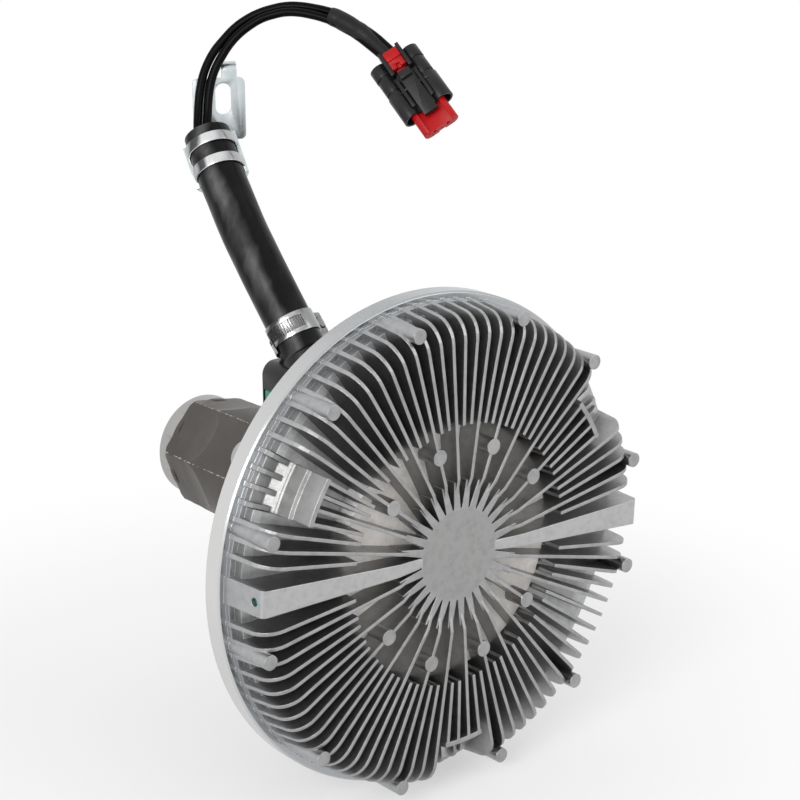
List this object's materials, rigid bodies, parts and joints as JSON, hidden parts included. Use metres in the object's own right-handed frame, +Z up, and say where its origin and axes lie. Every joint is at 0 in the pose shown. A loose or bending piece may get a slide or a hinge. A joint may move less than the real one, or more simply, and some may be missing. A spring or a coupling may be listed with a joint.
{
  "type": "viscous fan clutch",
  "caption": "Electrically controlled viscous fan clutch: finned aluminium drive on a hex ended shaft, with a tethered coil, hose, slotted bracket and sealed cable connector.",
  "frame": {"origin": "centre of the drive shaft's rear end face, on the axis of rotation", "axes": "Y along the axis of rotation, the finned front cover faces -Y and the hex end of the shaft faces +Y; +Z up, the way the hose of the coil lead stands; +X to the right seen from the front"},
  "size_m": [0.25, 0.2246, 0.3691],
  "materials": {
    "cast_aluminium": "satin",
    "shaft_steel": "satin",
    "dark_steel": "satin",
    "spring_steel": "satin",
    "bearing_steel": "gloss",
    "cage_brass": "satin",
    "zinc_steel": "satin",
    "copper_wire": "gloss",
    "terminal_brass": "satin",
    "bobbin_plastic": "matte",
    "black_plastic": "satin",
    "hose_rubber": "satin",
    "seal_rubber": "matte",
    "conduit_plastic": "gloss",
    "green_rubber": "satin",
    "red_plastic": "gloss"
  },
  "bodies": {
    "shaft": {"drive_shaft": "shaft_steel", "rotor": "cast_aluminium", "rotor_pole_ring": "dark_steel", "rotor_nut": "dark_steel", "bearing_spacer": "dark_steel", "main_bearing_inner": "bearing_steel", "coil_bearing_inner": "bearing_steel", "coil_shaft_circlip": "dark_steel"},
    "housing": {"front_cover": "cast_aluminium", "rear_body": "cast_aluminium", "cover_seal": "hose_rubber", "cover_screws": "dark_steel", "passage_plugs": "green_rubber", "reservoir_plate": "spring_steel", "plate_screws": "spring_steel", "pivot_pin": "spring_steel", "shaft_seal": "seal_rubber", "main_bearing_outer": "bearing_steel", "main_bearing_circlip": "dark_steel", "body_pole_ring": "dark_steel", "speed_ring": "dark_steel"},
    "valve": {"valve_arm": "spring_steel", "valve_pad": "hose_rubber", "armature": "dark_steel", "valve_spring": "spring_steel"},
    "main_ball_set": {"main_bearing_balls": "bearing_steel", "main_bearing_cage": "cage_brass"},
    "coil_ball_set": {"coil_bearing_balls": "bearing_steel", "coil_bearing_cage": "cage_brass"},
    "coil_carrier": {"coil_cup": "dark_steel", "coil_bobbin": "bobbin_plastic", "coil_winding": "copper_wire", "coil_moulding": "black_plastic", "coil_bearing_outer": "bearing_steel", "coil_cup_circlip": "dark_steel", "speed_sensor": "black_plastic", "box_seal": "green_rubber", "hose": "hose_rubber", "hose_lead": "conduit_plastic", "hose_bush": "hose_rubber", "clamp_band": "zinc_steel", "clamp_housing": "zinc_steel", "bracket": "zinc_steel", "bracket_straps": "zinc_steel", "conduit_left": "conduit_plastic", "conduit_right": "conduit_plastic", "shrink_sleeve": "conduit_plastic", "wire_seal": "seal_rubber", "connector_body": "black_plastic", "connector_terminals": "terminal_brass"},
    "worm_screw": {"clamp_screw": "zinc_steel"},
    "latch": {"connector_latch": "black_plastic"},
    "latch_lock": {"connector_lock": "red_plastic"},
    "nose_lock": {"connector_nose": "red_plastic"}
  },
  "joints": [
    {"name": "housing_spin", "type": "hinge", "parent": "shaft", "child": "housing", "pos_m": [0, -0.186, 0], "axis": [0, 1, 0], "continuous": true},
    {"name": "main_balls_spin", "type": "hinge", "parent": "shaft", "child": "main_ball_set", "pos_m": [0, -0.157, 0], "axis": [0, 1, 0], "continuous": true},
    {"name": "coil_swivel", "type": "hinge", "parent": "shaft", "child": "coil_carrier", "pos_m": [0, -0.126, 0], "axis": [0, 1, 0], "continuous": true},
    {"name": "coil_balls_spin", "type": "hinge", "parent": "shaft", "child": "coil_ball_set", "pos_m": [0, -0.126, 0], "axis": [0, 1, 0], "continuous": true},
    {"name": "valve_tilt", "type": "hinge", "parent": "housing", "child": "valve", "pos_m": [0, -0.2019, -0.024], "axis": [1, 0, 0], "range_deg": [-3, 0], "stiffness_Nm_per_rad": 0.05},
    {"name": "worm_turn", "type": "hinge", "parent": "coil_carrier", "child": "worm_screw", "pos_m": [0.00294, -0.10358, 0.08734], "axis": [-0.3827, 0.7021, -0.6005], "continuous": true},
    {"name": "latch_rock", "type": "hinge", "parent": "coil_carrier", "child": "latch", "pos_m": [0.05718, -0.12109, 0.20816], "axis": [0.7528, -0.4003, 0.5225], "range_deg": [-5, 0], "stiffness_Nm_per_rad": 0.2},
    {"name": "lock_slide", "type": "slide", "parent": "coil_carrier", "child": "latch_lock", "axis": [0.0172, -0.7816, -0.6236], "range_m": [0, 0.003]},
    {"name": "nose_slide", "type": "slide", "parent": "coil_carrier", "child": "nose_lock", "axis": [0.0172, -0.7816, -0.6236], "range_m": [-0.0025, 0]}
  ],
  "couplings": [
    {"joint": "main_balls_spin", "follows": "housing_spin", "ratio": 0.595},
    {"joint": "coil_balls_spin", "follows": "coil_swivel", "ratio": 0.557}
  ]
}
